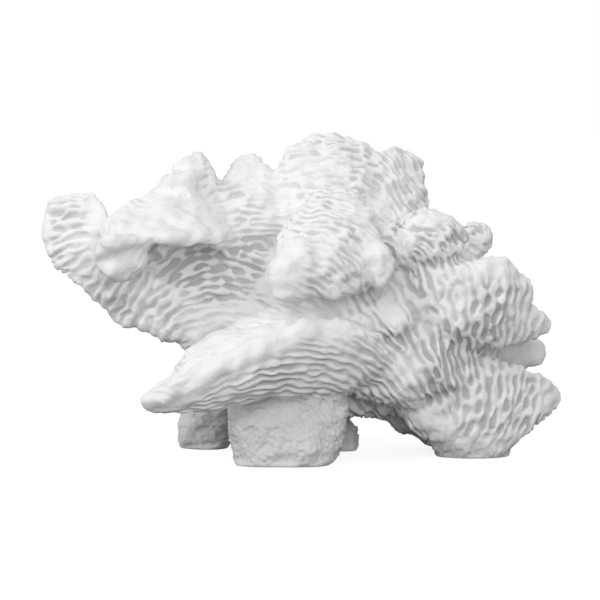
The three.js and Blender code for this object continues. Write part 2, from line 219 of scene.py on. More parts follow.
leftLipPiece = {
    "node": "left_lip", "slot": "coral",
    "depth": 0.9, "cells": 0.7, "pitch": 1.0, "lean": 0.0, "grit": 0.08,
    "lobes": [
        {"full": 0.7, "lines": "along", "path": [
            (-24, 12, 108, 10, 10, 0, 0, -0.9, -0.45), (-36, 4, 115, 14, 9, 0, 0, -0.9, -0.5),
            (-50, -14, 120, 22, 6, 0, 0.1, -0.9, -0.45),
            (-64, -25, 120, 25, 5, 1, 0.1, -0.9, -0.45),
            (-76, -28, 118, 23, 5, 2, 0.1, -0.9, -0.45),
            (-88, -30, 116, 14, 5, 2, 0, -0.85, -0.45),
            (-98, -31, 113, 8, 4.5, 0, -0.2, -0.8, -0.6)]},
        {"full": 0.9, "side": (1, 0.1, 0), "lines": "along", "path": [
            (-83, -30, 117, 10, 7), (-85, -37, 109.5, 13, 9), (-86.5, -40, 100, 12.5, 10),
            (-87.5, -38, 90, 9, 8)]},
        {"full": 0.95, "side": (0, 0.4, 1), "lines": "across", "path": [
            (-99, -36, 98, 3.5, 3.5), (-97, -46, 105, 4, 3.5), (-90, -51, 109.5, 4, 3.5),
            (-80, -48, 109.5, 4, 4), (-70, -38, 109, 4, 5)]},
    ],
}
crownSidePiece = {
    "node": "crown_side", "slot": "coral",
    "depth": 1.35, "cells": 1.3, "pitch": 1.0, "lean": 0.2, "grit": 0.12,
    "lobes": [
        {"full": 0.8, "lines": "along", "path": [
            (36, 6, 102.5, 16, 16, 0, 1, 0, 0), (43, 10, 118.5, 18, 14, 0, 1, 0.5, 0),
            (47.5, 16, 132.5, 19.5, 11, 0, 1, 0.8, 0), (50, 21, 143, 19, 9, 0, 1, 0.85, 0),
            (50.5, 25, 153, 16, 7, 0, 1, 0.85, 0)]},
    ],
}
rightKnobPiece = {
    "node": "right_knob", "slot": "coral",
    "depth": 1.8, "cells": 1.4, "pitch": 0.95, "lean": 0.0, "grit": 0.14,
    "lobes": [
        {"full": 0.85, "side": (0, 0, 1), "lines": "across", "path": [
            (30, 2, 101, 13, 14), (47, -9, 105, 13, 12), (61.5, -19, 109, 15.5, 13),
            (73, -19, 109.5, 14, 12), (82, -16, 109, 9, 8)]},
    ],
}
rightBackKnobPiece = {
    "node": "right_back_knob", "slot": "coral",
    "depth": 2.0, "cells": 1.4, "pitch": 1.0, "lean": 0.0, "grit": 0.12,
    "lobes": [
        {"full": 0.85, "side": (0, 0, 1), "lines": "across", "path": [
            (60.5, 14, 96, 14, 12), (76, 16, 102, 13, 11), (88, 16, 106, 12, 9),
            (98, 16, 106, 9, 6)]},
    ],
}
rightFootPiece = {
    "node": "right_foot", "slot": "coral_foot",
    "depth": 1.0, "cells": 1.0, "pitch": 0.9, "lean": 0.0, "grit": 0.2,
    "lobes": [
        {"full": 0.7, "side": (1, 0, 0), "lines": "along", "path": [
            (81.5, 2, 40, 26, 16), (84, 0, 19, 21, 16), (86.5, 2, 0, 18.5, 16.5),
            (87, 4, -26, 15, 13)]},
        {"full": 0.8, "side": (0.5, 0, 0.8), "lines": "across", "path": [
            (35.5, 18, 31.5, 14, 14), (53.5, 20, 21.5, 12.5, 13), (70.5, 24, 11, 11, 13),
            (87.5, 28, 1.5, 10, 12)]},
    ],
}
rightBackPiece = {
    "node": "right_back_lobe", "slot": "coral",
    "depth": 0.9, "cells": 0.7, "pitch": 1.0, "lean": 0.0, "grit": 0.1,
    "lobes": [
        {"full": 0.8, "side": (0, 0, 1), "lines": "across", "path": [
            (81.5, 24, 53, 14, 12), (102, 24, 51, 12, 10), (116.5, 24, 50, 11, 8),
            (126, 24, 49, 8, 5)]},
    ],
}
rearLeftFootPiece = {
    "node": "rear_left_foot", "slot": "coral_foot",
    "depth": 0.7, "cells": 0.9, "pitch": 0.9, "lean": 0.0, "grit": 0.22,
    "lobes": [
        {"full": 0.75, "side": (1, 0, 0), "lines": "across", "path": [
            (-33, 16, 41, 20, 18), (-43, 24, 22, 16, 14), (-49, 28, 4.5, 14, 13),
            (-50, 28, -17.5, 11, 9)]},
    ],
}
rearMidFootPiece = {
    "node": "rear_mid_foot", "slot": "coral_foot",
    "depth": 0.8, "cells": 0.9, "pitch": 0.9, "lean": 0.0, "grit": 0.22,
    "lobes": [
        {"full": 0.75, "side": (1, 0, 0), "lines": "across", "path": [
            (23, 14, 38.5, 14, 16), (19.5, 18, 21, 9, 12), (19, 20, 12.5, 6.5, 10),
            (21, 20, 4.5, 9, 11), (21, 20, -16, 8, 8)]},
    ],
}
backShelfPiece = {
    "node": "back_shelf", "slot": "coral",
    "depth": 1.6, "cells": 0.7, "pitch": 1.05, "lean": 0.0, "grit": 0.1,
    "lobes": [
        {"full": 0.75, "side": (1, 0.1, 0), "lines": "along", "path": [
            (10, 26, 50, 34, 18), (9.5, 50, 46.5, 34, 12), (8, 70, 45.5, 26, 9),
            (7, 84, 45, 13, 5)]},
    ],
}
backMiddlePiece = {
    "node": "back_middle_plate", "slot": "coral",
    "depth": 1.7, "cells": 0.7, "pitch": 1.05, "lean": 0.0, "grit": 0.1,
    "lobes": [
        {"full": 0.75, "side": (1, 0, 0), "lines": "along", "path": [
            (5, 26, 96, 30, 20), (2.5, 46, 107.5, 30, 13), (0, 64, 113.5, 24, 9),
            (-1, 78, 114.5, 13, 5)]},
    ],
}
backLeftPiece = {
    "node": "back_left_plate", "slot": "coral",
    "depth": 1.7, "cells": 0.7, "pitch": 1.05, "lean": 0.0, "grit": 0.1,
    "lobes": [
        {"full": 0.75, "side": (0, -0.5, 1), "lines": "across", "path": [
            (-30.5, 30, 85.5, 22, 16), (-54.5, 48, 93.5, 22, 12), (-78.5, 60, 100, 18, 8),
            (-94.5, 66, 103.5, 9, 5)]},
    ],
}
backRightPiece = {
    "node": "back_right_plate", "slot": "coral",
    "depth": 1.7, "cells": 0.7, "pitch": 1.05, "lean": 0.0, "grit": 0.1,
    "lobes": [
        {"full": 0.75, "side": (0.2, -0.3, 1), "lines": "across", "path": [
            (51, 30, 75.5, 22, 16), (70, 48, 79, 21, 12), (88, 62, 77.5, 16, 8),
            (97.5, 70, 76, 8, 5)]},
    ],
}
allPieces = [
    trunkPiece, leftBowlPiece, frontFootPiece, rightLowerPiece, rightUpperPiece, crownPiece, hoodPiece,
    frontTonguePiece, leftArmPiece, leftCrestPiece, leftKnobPiece, leftLipPiece, crownSidePiece,
    rightKnobPiece, rightBackKnobPiece, rightFootPiece, rightBackPiece, rearLeftFootPiece,
    rearMidFootPiece, backShelfPiece, backMiddlePiece, backLeftPiece, backRightPiece,
]

# How the ridges run over the front: x, z of a spot in mm and the slope of the crest in degrees.
frontLines = [
    (-126, 118, 34), (-114, 122, 2), (-103, 118, -8), (-124, 104, 38), (-110, 104, 10),
    (-112, 92, 38), (-102, 86, 54), (-92, 76, 66), (-82, 70, 68), (-72, 66, 60), (-77, 95, 50),
    (-66, 97, 35), (-50, 101, 6), (-35, 99, -8), (-22, 96, -22), (-70, 84, 40), (-58, 84, 22),
    (-42, 86, 0), (-26, 84, -8), (-56, 68, 12), (-38, 64, 6), (-28, 74, -8), (-40, 112, 2),
    (-25, 116, 0), (-16, 106, -6), (-35, 140, 20), (-22, 138, -20), (-4, 148, 22), (8, 155, 8),
    (20, 152, -6), (32, 145, -16), (0, 135, 12), (15, 135, 0), (30, 130, -14), (40, 140, -68),
    (52, 136, -62), (45, 122, -66), (2, 114, 4), (14, 118, -14), (10, 104, -12), (16, 98, -32),
    (22, 92, -72), (32, 108, -50), (34, 90, -88), (28, 88, 88), (14, 92, -50), (24, 112, -30),
    (6, 96, -20), (50, 112, 30), (62, 114, -10), (74, 110, -50), (52, 100, -60), (66, 98, -80),
    (86, 110, -50), (46, 88, -48), (52, 82, -58), (60, 78, -66), (70, 76, -78), (82, 76, -86),
    (96, 76, 88), (108, 76, 80), (116, 68, 78), (120, 60, 70), (28, 66, -40), (40, 80, -45),
    (-4, 53, -4), (12, 50, -16), (28, 46, -38), (42, 42, -52), (54, 48, -68), (62, 50, -74),
    (56, 32, -58), (34, 36, -40), (48, 30, -44), (66, 40, -76), (-52, 30, 8), (-40, 33, 10),
    (-28, 36, 12), (-12, 42, 6), (-2, 36, -4), (8, 40, -14), (-30, 26, 4), (-62, 29, 4),
    (-28, 52, 24), (-45, 45, 30), (70, 26, -70), (76, 14, 76), (86, 11, 60), (98, 14, 58),
    (106, 24, 64), (100, 38, 86), (90, 36, -86), (80, 40, -80), (84, 24, 84), (114, 32, 70),
    (124, 30, 62), (-24, 14, 62), (-10, 12, 80), (4, 14, 96), (12, 18, 110), (-50, 12, 0),
]

# Spots where the skin is smooth: x, z, radius across, radius up, tilt in degrees, strength.
smoothSpots = [
    (-74, 119, 22, 9, -8, 1.0), (-54, 113, 14, 5, 22, 1.0), (-92, 101, 10, 12, 0, 1.0),
    (-103, 110, 5, 20, 6, 0.9), (-58, 147, 9, 11, 0, 0.8), (-66, 136, 14, 7, 38, 0.9),
    (34, 103, 4.5, 15, 14, 0.85), (-10, 96, 10, 17, -24, 1.0), (-14, 86, 13, 9, 0, 1.0),
    (42, 73, 9, 7, -40, 0.85), (-19, 62, 46, 8.5, 24, 1.0), (-56, 41, 24, 8.5, 38, 1.0),
    (-74, 32, 8, 8, 0, 0.9), (8, 68, 22, 5, 4, 0.9), (-36, 62, 22, 8, 8, 0.8),
    (-34, 73, 20, 6, 6, 0.6), (-44, 54, 10, 8, 0, 0.6), (66, 120, 10, 5, 0, 0.7),
    (48, 108, 6, 7, 0, 0.8), (-30, 144, 10, 8, 0, 0.6), (128, 30, 10, 12, 0, 0.95),
    (-131, 112, 4, 22, 8, 0.9), (102, 96, 25, 9, -6, 0.8), (122, 62, 7, 9, 0, 0.6),
    (116, 50, 14, 9, 0, 0.95), (-8, 16, 34, 18, 0, 0.15), (-52, 12, 16, 14, 0, 0.6),
    (86, 6, 26, 5, 0, 0.7), (62, 18, 18, 7, -32, 0.85), (54, 28, 12, 5, -42, 0.7),
]


def spline(rows, t):
    rows = np.asarray(rows, float)
    last = len(rows) - 1
    ends = np.vstack([2 * rows[0] - rows[1], rows, 2 * rows[-1] - rows[-2]])
    s = np.clip(t, 0, 1) * last
    i = np.minimum(s.astype(int), last - 1)
    w = (s - i)[:, None]
    p0, p1, p2, p3 = ends[i], ends[i + 1], ends[i + 2], ends[i + 3]
    t0, t1 = 0.5 * (p2 - p0), 0.5 * (p3 - p1)
    return p1 + t0 * w + (3 * (p2 - p1) - 2 * t0 - t1) * w ** 2 + (2 * (p1 - p2) + t0 + t1) * w ** 3


def unit(v):
    return v / np.maximum(np.linalg.norm(v, axis=-1, keepdims=True), 1e-9)


def swell(p):
    x, y, z = p[..., 0], p[..., 1], p[..., 2]
    wide = np.sin(x * 0.19 + z * 0.11 + 0.6) * np.sin(y * 0.17 + z * 0.13 + 1.7)
    fine = np.sin(x * 0.33 - y * 0.21 + 2.1) * np.sin(z * 0.37 + x * 0.09 + 0.4)
    return 1.3 * (0.62 * wide + 0.38 * fine)


def smoothStep(x, low, high):
    t = np.clip((x - low) / (high - low), 0, 1)
    return t * t * (3 - 2 * t)


# One lobe as a closed grid, with the direction in which its ridges follow one another.
def lobeGrid(lobe, size):
    path = lobe["path"]
    spots = np.linspace(0, 1, 400)
    line = spline([s[:3] for s in path], spots)
    run = np.concatenate([[0], np.cumsum(np.linalg.norm(np.diff(line, axis=0), axis=1))])
    rows = int(run[-1] / size) + 8
    widest = max(s[3] + s[4] for s in path)
    columns = int(math.pi * widest / size) + 8
    step = np.linspace(0, 1, rows + 1)
    u = np.clip(step - 0.12 * np.sin(2 * np.pi * step), 0, 1)
    t = np.interp(u * run[-1], run, spots)
    centre = spline([s[:3] for s in path], t)
    tangent = unit(spline([s[:3] for s in path], np.clip(t + 1e-3, 0, 1))
                   - spline([s[:3] for s in path], np.clip(t - 1e-3, 0, 1)))
    girth = spline([(s[3], s[4], s[5] if len(s) > 5 else 0) for s in path], t)
    side = spline([s[6:9] if len(s) > 6 else lobe["side"] for s in path], t)
    side = unit(side - tangent * np.sum(side * tangent, axis=1, keepdims=True))
    normal = unit(np.cross(tangent, side))
    blunt = lobe.get("blunt", 2.6)
    r = np.maximum(0, 1 - np.abs(2 * u - 1) ** blunt) ** (1 / blunt)
    angle = np.linspace(0, 2 * np.pi, columns, endpoint=False)
    sx = np.sign(np.cos(angle)) * np.abs(np.cos(angle)) ** lobe["full"]
    sy = np.sign(np.sin(angle)) * np.abs(np.sin(angle)) ** lobe["full"]
    half = (girth[:, 0] * r)[:, None] * sx
    thick = (girth[:, 1] * r ** 0.7)[:, None] * sy + (girth[:, 2] * r)[:, None] * sx ** 2
    points = centre[:, None] + side[:, None] * half[..., None] + normal[:, None] * thick[..., None]
    outward = unit(side[:, None] * sx[None, :, None] + normal[:, None] * sy[None, :, None])
    points = points + outward * (swell(points) * np.minimum(1, r * 1.5)[:, None])[..., None]
    along = np.broadcast_to(tangent[:, None], points.shape)
    return points, along if lobe["lines"] == "across" else unit(np.cross(along, outward))


def gridFaces(rows, columns, first):
    ring = np.arange(columns)
    following = np.roll(ring, -1)
    base = np.arange(rows - 2)[:, None] * columns + 1
    i, j = base + ring, base + following
    quads = np.stack([i, j, j + columns, i + columns], -1).reshape(-1, 4) + first
    bottom, top, end = first + 1, first + 1 + (rows - 2) * columns, first + 1 + (rows - 1) * columns
    low = np.stack([np.full(columns, first), bottom + following, bottom + ring], -1)
    high = np.stack([np.full(columns, end), top + ring, top + following], -1)
    return quads.tolist() + low.tolist() + high.tolist()


points, faces, samples, sampleFollow, sampleOwner = [], [], [], [], []
first = 0
for owner, piece in enumerate(allPieces):
    for lobe in piece["lobes"]:
        grid, follow = lobeGrid(lobe, colony["gridStep"])
        rows, columns = grid.shape[0] - 1, grid.shape[1]
        closed = np.vstack([grid[0, :1], grid[1:-1].reshape(-1, 3), grid[-1, :1]])
        closed[:, 2] = np.where(closed[:, 2] < 0, closed[:, 2] * 0.05, closed[:, 2])
        points.append(closed)
        faces.extend(gridFaces(rows, columns, first))
        first += len(closed)
        samples.append(grid.reshape(-1, 3))
        sampleFollow.append(follow.reshape(-1, 3))
        sampleOwner.append(np.full(grid.shape[0] * columns, owner))
points, samples, sampleFollow = np.vstack(points), np.vstack(samples), np.vstack(sampleFollow)
sampleOwner = np.concatenate(sampleOwner)
print("coral: lobes laid out,", len(points), "points")

# All lobes become one skin.
rough = bpy.data.meshes.new("roughCoral")
rough.from_pydata(points.tolist(), [], faces)
rough.update()
roughObject = bpy.data.objects.new("roughCoral", rough)
bpy.context.scene.collection.objects.link(roughObject)
remesh = roughObject.modifiers.new("skin", "REMESH")
remesh.mode = "VOXEL"
remesh.voxel_size = colony["voxel"]
shaped = roughObject.evaluated_get(bpy.context.evaluated_depsgraph_get())
skin = bpy.data.meshes.new_from_object(shaped)
spots = np.empty(len(skin.vertices) * 3, np.float32)
skin.vertices.foreach_get("co", spots)
position = spots.reshape(-1, 3).astype(float)
corner = np.empty(len(skin.loops), np.int32)
skin.loops.foreach_get("vertex_index", corner)
quads = corner.reshape(-1, 4)
bpy.data.objects.remove(roughObject)
bpy.data.meshes.remove(rough)
bpy.data.meshes.remove(skin)


def edgesOf(quads):
    return np.vstack([quads[:, [0, 1]], quads[:, [1, 2]], quads[:, [2, 3]], quads[:, [3, 0]]])


# Only the outer shell stays.
def keepLargest(position, quads):
    label = np.arange(len(position))
    edges = edgesOf(quads)
    for turn in range(colony["labelTurns"]):
        low = np.minimum(label[edges[:, 0]], label[edges[:, 1]])
        fresh = label.copy()
        np.minimum.at(fresh, edges[:, 0], low)
        np.minimum.at(fresh, edges[:, 1], low)
        fresh = fresh[fresh]
        if np.array_equal(fresh, label):
            break
        label = fresh
    keep = label == np.bincount(label).argmax()
    renumber = np.cumsum(keep) - 1
    return position[keep], renumber[quads[keep[quads[:, 0]]]]


position, quads = keepLargest(position, quads)
print("coral: one skin,", len(position), "points")


# The neighbours of every point, up to eight, and which entries are real ones.
def neighboursOf(quads, count):
    edges = np.unique(np.sort(edgesOf(quads), axis=1), axis=0)
    both = np.vstack([edges, edges[:, ::-1]])
    both = both[np.argsort(both[:, 0], kind="stable")]
    degree = np.bincount(both[:, 0], minlength=count)
    start = np.concatenate([[0], np.cumsum(degree)[:-1]])
    slot = np.arange(len(both)) - start[both[:, 0]]
    table = np.tile(np.arange(count)[:, None], (1, min(8, degree.max())))
    fits = slot < table.shape[1]
    table[both[fits, 0], slot[fits]] = both[fits, 1]
    real = table != np.arange(count)[:, None]
    return table, real


def vertexNormals(position, quads):
    cross = np.cross(position[quads[:, 2]] - position[quads[:, 0]],
                     position[quads[:, 3]] - position[quads[:, 1]])
    total = [np.bincount(quads.ravel(), np.repeat(cross[:, k], 4), len(position)) for k in range(3)]
    return unit(np.stack(total, -1))


table, real = neighboursOf(quads, len(position))
weight = real / np.maximum(real.sum(1, keepdims=True), 1)
normal = vertexNormals(position, quads)
outside = np.sum(normal * (position - position.mean(0)), axis=1).mean()
if outside < 0:
    quads = quads[:, ::-1]
    normal = -normal

# Creases between lobes fill up, crests and rims keep their shape.
for turn in range(colony["fillets"]):
    if turn % 4 == 0:
        normal = vertexNormals(position, quads)
    pull = np.einsum("vkc,vk->vc", position[table], weight) - position
    hollow = np.sum(pull * normal, axis=1) > 0
    position = position + pull * np.where(hollow, colony["hollowPull"], colony["crestPull"])[:, None]
normal = vertexNormals(position, quads)
print("coral: creases rounded")

# How thick the coral is under each point, so that no valley cuts through a thin rim.
solid = BVHTree.FromPolygons(position.tolist(), quads.tolist())
starts = (position - 0.2 * normal).tolist()
hits = [solid.ray_cast(p, n, colony["deepest"])[3] for p, n in zip(starts, (-normal).tolist())]
thickness = np.array([colony["deepest"] if h is None else h for h in hits], float)


def soften(values, passes):
    for turn in range(passes):
        values = 0.4 * values + 0.6 * (values[table] * weight).sum(1)
    return values


thickness = np.minimum(thickness, soften(np.minimum(thickness, 14), 8))

# Rims and tips stand out from a much smoother copy of the skin.
calmer = position
for turn in range(colony["rimTurns"]):
    calmer = calmer + 0.6 * (np.einsum("vkc,vk->vc", calmer[table], weight) - calmer)
proud = np.sum((position - calmer) * normal, axis=1)
rimness = soften(smoothStep(proud, colony["rimLow"], colony["rimHigh"]), 5)

# Each point learns which piece it belongs to and how its ridges run.
tree = kdtree.KDTree(len(samples))
for i, p in enumerate(samples.tolist()):
    tree.insert(p, i)
tree.balance()
nearest = np.array([tree.find(p)[1] for p in position.tolist()])
owner = sampleOwner[nearest]
depthHere, cellsHere, pitchHere, leanHere, gritHere = [
    soften(np.array([piece[key] for piece in allPieces])[owner], colony["fieldTurns"])
    for key in ("depth", "cells", "pitch", "lean", "grit")]
follow = sampleFollow[nearest]
shifted = position + np.array(colony["drawn"])

lines = np.array(frontLines, float)
slope = np.radians(lines[:, 2])
doubled = np.stack([np.cos(2 * slope), np.sin(2 * slope)], -1)
apart = np.sum((shifted[:, None, [0, 2]] - lines[None, :, :2]) ** 2, -1)
mean = (np.exp(-apart / (2 * colony["lineReach"] ** 2)) + 1e-7 / (1 + apart)) @ doubled
slope = 0.5 * np.arctan2(mean[:, 1], mean[:, 0])
crestLine = np.stack([np.cos(slope) * normal[:, 1],
                      -(np.cos(slope) * normal[:, 0] + np.sin(slope) * normal[:, 2]),
                      np.sin(slope) * normal[:, 1]], -1)
frontFollow = np.cross(normal, unit(crestLine))
follow = unit(follow - normal * np.sum(follow * normal, axis=1, keepdims=True))
facing = smoothStep(-normal[:, 1], -0.05, 0.3)
agree = np.sign(np.sum(follow * frontFollow, axis=1))
follow = unit(frontFollow * facing[:, None] + follow * (agree * (1 - facing))[:, None])


# The field of directions is evened out over its neighbours, whichever way each one points.
def comb(direction):
    for turn in range(colony["fieldTurns"]):
        near = direction[table]
        sign = np.sign(np.einsum("vkc,vc->vk", near, direction)) * real
        direction = direction + np.einsum("vkc,vk->vc", near, sign)
        direction = unit(direction - normal * np.sum(direction * normal, axis=1, keepdims=True))
    return direction


follow = comb(follow)
chance = np.random.default_rng(colony["seed"])


# A sum of sine waves in random directions, mostly between -1 and 1.
def waves(p, pitch, count, seed):
    dice = np.random.default_rng(seed)
    way = unit(dice.normal(size=(count, 3))) * (2 * np.pi / pitch) * dice.uniform(0.75, 1.3, (count, 1))
    start = dice.uniform(0, 2 * np.pi, count)
    return np.sin(p @ way.T + start).sum(1) / math.sqrt(count / 2)


# Ridges: a phase at every point is lined up with the phases round it, one turn per pitch.
def growPhase(direction, turnRate):
    near = direction[table]
    sign = np.sign(np.einsum("vkc,vc->vk", near, direction))
    sign[sign == 0] = 1
    middle = 0.5 * (direction[:, None] + near * sign[..., None])
    step = position[:, None] - position[table]
    rate = 0.5 * (turnRate[:, None] + turnRate[table])
    turning = np.exp(1j * rate * np.einsum("vkc,vkc->vk", middle, step)) * real
    phase = np.exp(1j * chance.uniform(0, 2 * np.pi, len(position)))
    for turn in range(colony["combing"]):
        around = phase[table]
        around = np.where(sign > 0, around, np.conj(around))
        phase = (around * turning).sum(1) + 0.6 * phase
        phase /= np.maximum(np.abs(phase), 1e-9)
    return phase


warp = pitchHere * np.clip(1 + colony["pitchSway"] * waves(position, *noises["sway"]), 0.8, 1.25)
ridgeRate = 2 * np.pi / (colony["ridgePitch"] * warp)
ridgePhase = growPhase(follow, ridgeRate)
print("coral: ridges combed")


# The skin is split once more, and the phase is carried over with it.
def splitSkin(position, quads):
    count = len(position)
    single, place = np.unique(np.sort(edgesOf(quads), axis=1), axis=0, return_inverse=True)
    place = place.reshape(4, -1) + count
    centre = np.arange(len(quads)) + count + len(single)
    fresh = np.vstack([position, position[single].mean(1), position[quads].mean(1)])
    small = np.vstack([np.stack([quads[:, k], place[k], centre, place[k - 1]], -1) for k in range(4)])
    return fresh, small, single


def carryPhase(phase, direction, rate, single):
    def carried(parents, spot):
        lead = direction[parents[:, 0]]
        total, ways = 0, 0
        for k in range(parents.shape[1]):
            who = parents[:, k]
            sign = np.sign(np.sum(direction[who] * lead, axis=1))
            sign[sign == 0] = 1
            turned = np.where(sign > 0, phase[who], np.conj(phase[who]))
            way = direction[who] * sign[:, None]
            run = np.sum(way * (spot - position[who]), axis=1)
            total = total + turned * np.exp(1j * rate[who] * run)
            ways = ways + way
        return total / parents.shape[1]

    first, second = len(phase), len(phase) + len(single)
    return np.concatenate([carried(np.arange(first)[:, None], finePosition[:first]),
                           carried(single, finePosition[first:second]),
                           carried(quads, finePosition[second:])])


finePosition, fineQuads, single = splitSkin(position, quads)
fineTable, fineReal = neighboursOf(fineQuads, len(finePosition))
fineWeight = fineReal / np.maximum(fineReal.sum(1, keepdims=True), 1)
for turn in range(colony["fineTurns"]):
    pull = np.einsum("vkc,vk->vc", finePosition[fineTable], fineWeight) - finePosition
    finePosition = finePosition + 0.5 * pull
ridge = carryPhase(ridgePhase, follow, ridgeRate, single)
fineNormal = vertexNormals(finePosition, fineQuads)


def carry(values):
    return np.concatenate([values, values[single].mean(1), values[quads].mean(1)])


thin, rimHere, deep, cells, lean, grit = [
    carry(values) for values in (thickness, rimness, depthHere, cellsHere, leanHere, gritHere)]
print("coral: fine skin,", len(finePosition), "points")

# How the skin is shaped between and on the ridges, lengths in mm.
relief = {
    "smoothIn": 0.45,        # a smooth spot is whole inside this share of its radius
    "smoothOut": 1.4,        # and over at this one
    "smoothBehind": 0.3,     # what is left of it where the skin faces away
    "rimCalm": 0.88,         # how smooth the rims are
    "depth": 0.85,
    "thinShare": 0.2,        # a valley takes at most this share of the thickness
    "patch": 0.16,           # deeper and shallower patches
    "wander": 0.55,          # how far a ridge strays from its line, in radians
    "cellRange": (-0.7, 2.2),
    "flank": (-0.95, 0.7),   # where in the wave a ridge's side begins and ends
    "crest": 0.16,           # how uneven the crests are
    "lumps": 0.5,
    "bumps": 0.26,
    "lumpThickness": 8.0,    # coral thinner than this has weaker lumps
    "sink": 0.3,             # keeps the crests inside the outline
    "cut": 0.35,             # below this the skin is the sawn foot
    "shadeDepth": 1.7,        # a valley this deep has its full painted shade
}

# Where the ridges stand high or fade away.
spot = finePosition + np.array(colony["drawn"])
front = smoothStep(-fineNormal[:, 1], -0.1, 0.25)
calm = np.zeros(len(spot))
for x, z, wide, high, tilt, strength in smoothSpots:
    c, s = math.cos(math.radians(tilt)), math.sin(math.radians(tilt))
    across = (spot[:, 0] - x) * c + (spot[:, 2] - z) * s
    up = -(spot[:, 0] - x) * s + (spot[:, 2] - z) * c
    away = np.sqrt((across / wide) ** 2 + (up / high) ** 2)
    fade = 1 - smoothStep(away, relief["smoothIn"], relief["smoothOut"])
    calm = np.maximum(calm, strength * fade)
calm = calm * np.maximum(front, relief["smoothBehind"])
rimVaries = np.clip(0.8 + 0.3 * waves(spot, *noises["rim"]), 0, 1)
calm = np.maximum(calm, relief["rimCalm"] * rimHere * rimVaries)
patch = np.clip(1 + relief["patch"] * waves(spot, *noises["patch"]), 0.6, 1.3)
deep = np.minimum(relief["depth"] * deep * patch * (1 - calm), relief["thinShare"] * thin)

ridge = ridge / np.maximum(np.abs(ridge), 1e-6)
ridge = ridge * np.exp(1j * relief["wander"] * waves(spot, *noises["wander"]))
closing = cells * np.clip(waves(spot, *noises["cells"]), *relief["cellRange"])
height = smoothStep(np.real(ridge) + closing - lean, *relief["flank"])
crestLift = relief["crest"] * waves(spot, *noises["crest"]) * height
grain = waves(spot, *noises["grain"]) * (0.55 + 0.45 * waves(spot, *noises["grainMask"]))
lumps = relief["lumps"] * waves(spot, *noises["lumps"]) + relief["bumps"] * waves(spot, *noises["bumps"])
lumps = lumps * np.minimum(1, thin / relief["lumpThickness"])
ground = smoothStep(spot[:, 2], 0.3, 2.5)
move = (-deep * (1 - height - crestLift) + lumps + grit * grain - relief["sink"]) * ground
finePosition = finePosition + fineNormal * move[:, None]
finePosition[:, 2] = np.where(spot[:, 2] < relief["cut"], 0.0, np.maximum(finePosition[:, 2], 0.0))
# Painted shade: the deeper a valley, the darker its colour, standing in for the shade that falls into
# it.
valleyshade = np.clip((1 - height) * deep / relief["shadeDepth"], 0, 1.2)
fineNormal = vertexNormals(finePosition, fineQuads)
print("coral: ridges raised")


# Chalk: a shared group gives the grain, the random stain and the painted shade in the valleys, each
# material sets its own values.
chalk = {
    # where the painted shade of the valleys begins and where it is whole
    "deepFrom": 0.25, "deepTo": 1.0,
    "cloudScale": 45, "cloudFrom": 0.5, "cloudTo": 0.72,
    "speckScale": 420, "roughBase": 0.72, "roughSpread": 0.22,
    "poreScale": 900, "poreEdge": 0.35, "poreHeight": 0.5,
    "bumpDistance": 0.0004, "specular": 0.3,
}


def makeChalkGroup():
    group = bpy.data.node_groups.new("chalkSkin", "ShaderNodeTree")
    sockets = [
        ("Crest", "INPUT", "Color"), ("Valleyshade", "INPUT", "Color"), ("Stain", "INPUT", "Color"),
        ("Stain Amount", "INPUT", "Float"), ("Depth", "INPUT", "Float"),
        ("Grain Scale", "INPUT", "Float"),
        ("Color", "OUTPUT", "Color"), ("Roughness", "OUTPUT", "Float"), ("Height", "OUTPUT", "Float")]
    for name, way, kind in sockets:
        group.interface.new_socket(name, in_out=way, socket_type="NodeSocket" + kind)
    nodes, links = group.nodes, group.links
    given, out = nodes.new("NodeGroupInput"), nodes.new("NodeGroupOutput")
    place = nodes.new("ShaderNodeTexCoord")

    def noise(scale, detail, roughness):
        node = nodes.new("ShaderNodeTexNoise")
        node.inputs["Scale"].default_value = scale
        node.inputs["Detail"].default_value = detail
        node.inputs["Roughness"].default_value = roughness
        links.new(place.outputs["Object"], node.inputs["Vector"])
        return node

    def ramp(source, low, high):
        node = nodes.new("ShaderNodeMapRange")
        node.interpolation_type = "SMOOTHSTEP"
        node.inputs["From Min"].default_value = low
        node.inputs["From Max"].default_value = high
        links.new(source, node.inputs["Value"])
        return node.outputs["Result"]

    def mixColor(factor, a, b):
        node = nodes.new("ShaderNodeMix")
        node.data_type = "RGBA"
        links.new(factor, node.inputs["Factor"])
        links.new(a, node.inputs["A"])
        links.new(b, node.inputs["B"])
        return node.outputs["Result"]

    def calc(kind, a, b):
        node = nodes.new("ShaderNodeMath")
        node.operation = kind
        for socket, value in zip(node.inputs, (a, b)):
            if isinstance(value, (int, float)):
                socket.default_value = value
            else:
                links.new(value, socket)
        return node.outputs[0]

    # The valley colour is painted shade, mixed in by how deep the valley is.
    deep = ramp(given.outputs["Depth"], chalk["deepFrom"], chalk["deepTo"])
    base = mixColor(deep, given.outputs["Crest"], given.outputs["Valleyshade"])
    cloud = noise(chalk["cloudScale"], 5, 0.6)
    clouded = ramp(cloud.outputs["Fac"], chalk["cloudFrom"], chalk["cloudTo"])
    stain = calc("MULTIPLY", clouded, given.outputs["Stain Amount"])
    links.new(mixColor(stain, base, given.outputs["Stain"]), out.inputs["Color"])
    speck = noise(chalk["speckScale"], 3, 0.6)
    speckle = calc("MULTIPLY", speck.outputs["Fac"], chalk["roughSpread"])
    links.new(calc("ADD", chalk["roughBase"], speckle), out.inputs["Roughness"])
    fine = noise(1.0, 5, 0.65)
    links.new(given.outputs["Grain Scale"], fine.inputs["Scale"])
    pores = nodes.new("ShaderNodeTexVoronoi")
    pores.inputs["Scale"].default_value = chalk["poreScale"]
    links.new(place.outputs["Object"], pores.inputs["Vector"])
    pore = calc("MULTIPLY", ramp(pores.outputs["Distance"], 0.0, chalk["poreEdge"]), chalk["poreHeight"])
    links.new(calc("ADD", fine.outputs["Fac"], pore), out.inputs["Height"])
    return group


chalkGroup = makeChalkGroup()


